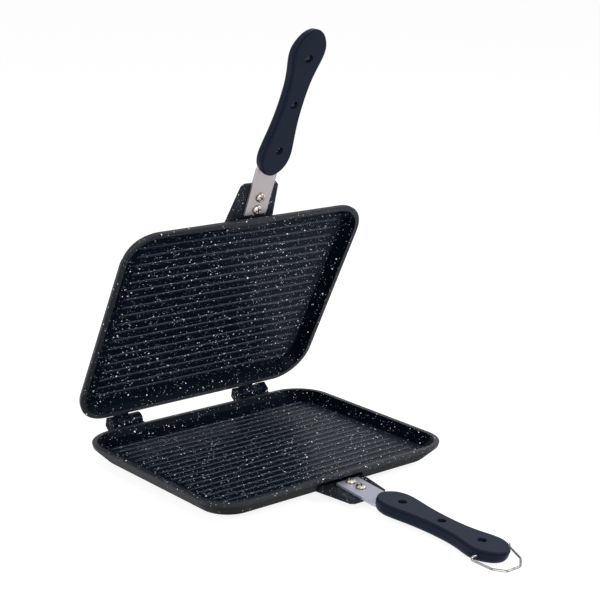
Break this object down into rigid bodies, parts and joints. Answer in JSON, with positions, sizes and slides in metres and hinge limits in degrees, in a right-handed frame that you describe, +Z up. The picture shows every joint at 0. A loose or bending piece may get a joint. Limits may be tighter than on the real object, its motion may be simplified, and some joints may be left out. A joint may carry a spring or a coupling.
{
  "type": "stovetop sandwich toaster",
  "caption": "Stovetop sandwich toaster, shown open: ribbed rectangular cast plates on barrel hinges, with steel tangs, dark dog-bone grips and a wire hook on the lower grip.",
  "frame": {"origin": "middle of the pad under the lower plate, on the surface that the toaster stands on", "axes": "+X along the hinge axis, -Y towards the handles, +Z up"},
  "size_m": [0.28, 0.4438, 0.4106],
  "materials": {
    "granite_coating": "cast aluminium under a dark stone-effect non-stick coating with pale flecks",
    "tang_steel": "flat steel strip, satin",
    "screw_steel": "bright zinc-plated screw",
    "pin_steel": "plain steel pin",
    "wire_steel": "bright steel wire",
    "grip_bakelite": "dark blue-black moulded bakelite, satin"
  },
  "bodies": {
    "lower": {"lower_plate": "granite_coating", "hinge_pin_left": "pin_steel", "hinge_pin_right": "pin_steel", "lower_tang": "tang_steel", "lower_tang_screw_1": "screw_steel", "lower_tang_screw_2": "screw_steel", "lower_grip_cover": "grip_bakelite", "lower_grip_body": "grip_bakelite", "lower_grip_screw_1": "screw_steel", "lower_grip_screw_2": "screw_steel", "lower_grip_screw_3": "screw_steel"},
    "upper": {"upper_plate": "granite_coating", "upper_tang": "tang_steel", "upper_tang_screw_1": "screw_steel", "upper_tang_screw_2": "screw_steel", "upper_grip_cover": "grip_bakelite", "upper_grip_body": "grip_bakelite", "upper_grip_screw_1": "screw_steel", "upper_grip_screw_2": "screw_steel", "upper_grip_screw_3": "screw_steel"},
    "hook": {"wire_hook": "wire_steel"}
  },
  "joints": [
    {"name": "plate_hinge", "type": "hinge", "parent": "lower", "child": "upper", "pos_m": [0, 0.1214, 0.0222], "axis": [-1, 0, 0], "range_deg": [-63.8, 116.2]},
    {"name": "hook_pivot", "type": "hinge", "parent": "lower", "child": "hook", "pos_m": [0.0035, -0.28795, 0.00868], "axis": [-1, 0, 0], "range_deg": [-130, 168]}
  ]
}
